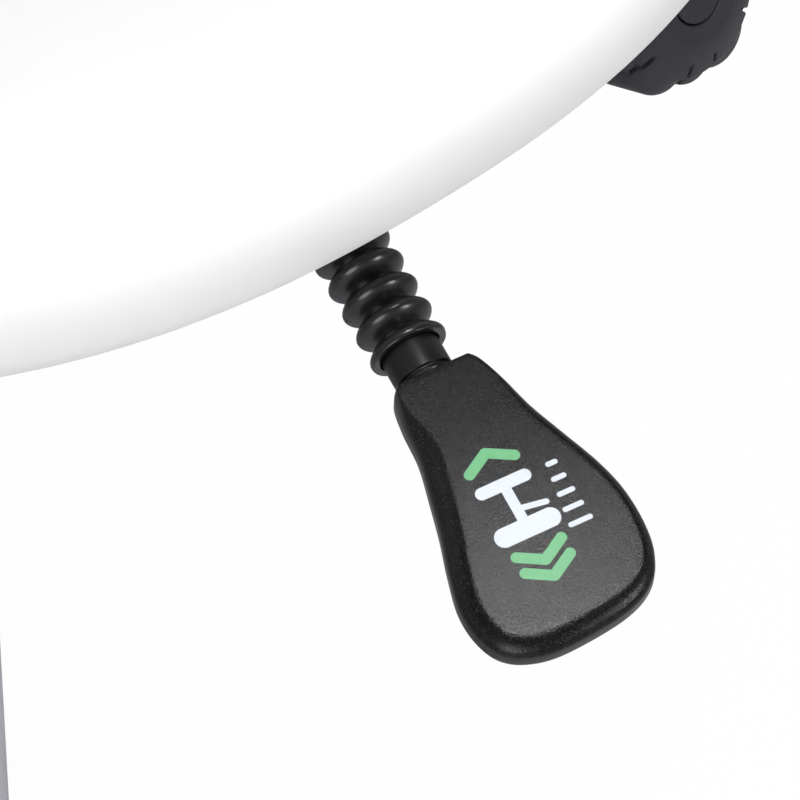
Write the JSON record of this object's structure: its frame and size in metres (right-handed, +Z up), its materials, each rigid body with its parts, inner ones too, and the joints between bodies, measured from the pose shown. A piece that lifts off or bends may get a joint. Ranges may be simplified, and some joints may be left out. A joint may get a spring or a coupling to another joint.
{
  "type": "wobble stool",
  "caption": "Sit-stand wobble stool: padded seamless white seat on a gas column and rounded weighted base, with lift lever and tension knob",
  "frame": {"origin": "centre of the flat middle of the rocker base's underside, on the floor under the column", "axes": "+Z up along the column, +X to the sitter's right where the lift lever is, +Y to the sitter's front"},
  "size_m": [0.525, 0.44, 0.725],
  "materials": {
    "base_rubber": "moulded black rubber, satin",
    "iron": "raw cast iron, coarse",
    "silver": "silver paint with a fine metallic flake, satin",
    "zinc": "bright zinc plating",
    "bright_steel": "ground bright steel",
    "cylinder_black": "black, smooth and glossy",
    "black_steel": "black powder coat, fine orange peel",
    "black_plastic": "moulded black plastic, satin",
    "plywood": "raw birch plywood",
    "foam": "moulded foam, matt and porous",
    "vinyl": "white synthetic leather, very fine grain, seamless",
    "boot_rubber": "smooth glossy black rubber",
    "collar_plastic": "smooth black plastic, satin gloss",
    "paddle_plastic": "black plastic with fine moulded grain, printed mark in white and pale green",
    "knob_plastic": "dark grey black plastic, satin"
  },
  "bodies": {
    "base": {"rocker_pad": "base_rubber", "ballast_disc": "iron", "base_shell": "silver", "tube_socket": "black_steel", "socket_screw_1": "zinc", "socket_screw_2": "zinc", "socket_screw_3": "zinc", "socket_screw_4": "zinc", "pad_screw_1": "zinc", "pad_screw_2": "zinc", "pad_screw_3": "zinc", "pad_screw_4": "zinc", "column_tube": "silver", "guide_bush": "black_plastic", "bearing_lower_washer": "zinc"},
    "rod": {"bearing_cage": "black_plastic", "bearing_upper_washer": "zinc", "piston_rod": "bright_steel", "retaining_clip": "zinc"},
    "lift": {"gas_cylinder": "cylinder_black", "column_hub": "black_steel", "hub_pin_front": "zinc", "hub_pin_back": "zinc", "wobble_buffer_1": "base_rubber", "wobble_buffer_2": "base_rubber", "wobble_buffer_3": "base_rubber", "wobble_buffer_4": "base_rubber"},
    "valve": {"valve_pin": "bright_steel"},
    "tilt_ring": {"gimbal_ring": "zinc", "gimbal_pin_right": "zinc", "gimbal_pin_left": "zinc"},
    "seat": {"seat_pan": "black_steel", "seat_bolt_1": "zinc", "seat_bolt_2": "zinc", "seat_bolt_3": "zinc", "seat_bolt_4": "zinc", "t_nut_1": "zinc", "t_nut_2": "zinc", "t_nut_3": "zinc", "t_nut_4": "zinc", "seat_board": "plywood", "seat_foam": "foam", "seat_cover": "vinyl", "lever_pivot_pin": "zinc", "tension_housing": "black_plastic", "tension_arm": "black_steel", "arm_screw_1": "zinc", "arm_screw_2": "zinc", "tension_spring": "zinc"},
    "lever": {"lever_rod": "bright_steel", "lever_bellows": "boot_rubber", "lever_collar": "collar_plastic", "lever_paddle": "paddle_plastic"},
    "knob": {"knob_body": "knob_plastic", "knob_cap": "knob_plastic", "tension_stud": "zinc"},
    "follower": {"follower_nut": "zinc"}
  },
  "joints": [
    {"name": "swivel", "type": "hinge", "parent": "base", "child": "rod", "pos_m": [0, 0, 0.05], "axis": [0, 0, 1], "continuous": true},
    {"name": "height", "type": "slide", "parent": "rod", "child": "lift", "axis": [0, 0, 1], "range_m": [-0.13, 0.05]},
    {"name": "valve_press", "type": "slide", "parent": "lift", "child": "valve", "axis": [0, 0, -1], "range_m": [0, 0.002], "stiffness_N_per_m": 1500},
    {"name": "side_tilt", "type": "hinge", "parent": "lift", "child": "tilt_ring", "pos_m": [0, 0, 0.592], "axis": [0, 1, 0], "range_deg": [-5, 5], "stiffness_Nm_per_rad": 260, "deforming": ["wobble_buffer_1", "wobble_buffer_2", "wobble_buffer_3", "wobble_buffer_4"]},
    {"name": "fore_tilt", "type": "hinge", "parent": "tilt_ring", "child": "seat", "pos_m": [0, 0, 0.592], "axis": [1, 0, 0], "range_deg": [-5, 5], "stiffness_Nm_per_rad": 260, "deforming": ["wobble_buffer_1", "wobble_buffer_2", "wobble_buffer_3", "wobble_buffer_4"]},
    {"name": "lever_lift", "type": "hinge", "parent": "seat", "child": "lever", "pos_m": [0.048, 0, 0.6262], "axis": [0, -1, 0], "range_deg": [0, 2.2], "stiffness_Nm_per_rad": 60},
    {"name": "knob_turn", "type": "hinge", "parent": "seat", "child": "knob", "pos_m": [0.1547, 0.1354, 0.6067], "axis": [0.9406, 0.0246, 0.3387], "range_deg": [-720, 720]},
    {"name": "follower_slide", "type": "slide", "parent": "seat", "child": "follower", "axis": [0.9406, 0.0246, 0.3387], "range_m": [-0.0026, 0.0026], "deforming": ["tension_spring"]}
  ],
  "couplings": [
    {"joint": "follower_slide", "follows": "knob_turn", "m_per_rad": -0.00019894},
    {"joint": "valve_press", "follows": "lever_lift", "m_per_rad": 0.048}
  ]
}
